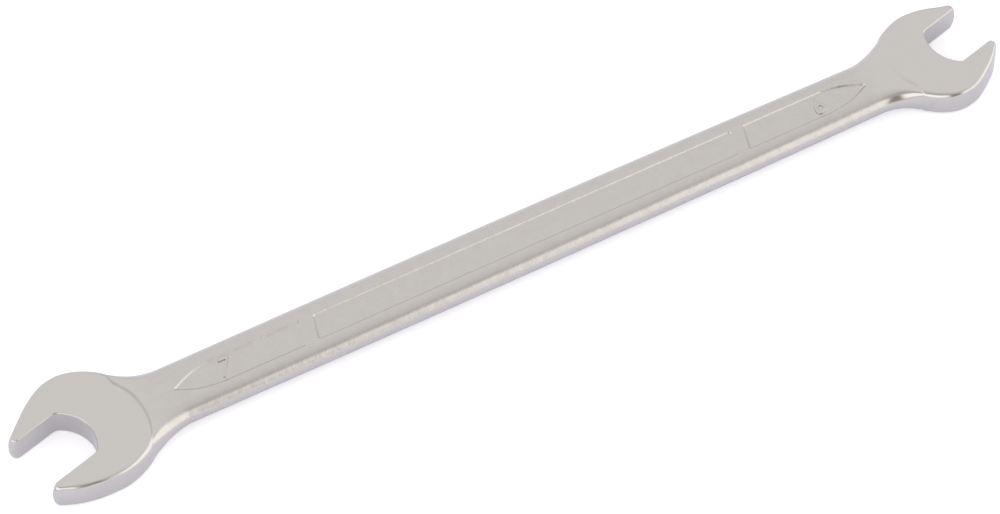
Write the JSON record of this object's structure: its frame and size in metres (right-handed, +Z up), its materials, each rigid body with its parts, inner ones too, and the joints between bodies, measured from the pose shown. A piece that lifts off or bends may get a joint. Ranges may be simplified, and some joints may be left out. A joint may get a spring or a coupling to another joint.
{
  "type": "open end wrench",
  "caption": "Slim open end wrench with a panelled shank and an angled open jaw at each end, for 7 mm and 6 mm nuts.",
  "frame": {"origin": "middle of the wrench's length and width, on the surface that it lies on", "axes": "+X along the shank from the 7 mm head to the 6 mm head, +Y across the shank, +Z up through the thickness"},
  "size_m": [0.122, 0.0153, 0.0033],
  "materials": {
    "satin_chrome": "satin chrome plating on forged steel, smoother on the ground faces of the heads"
  },
  "bodies": {
    "root": {"wrench_body": "satin_chrome"}
  },
  "joints": []
}
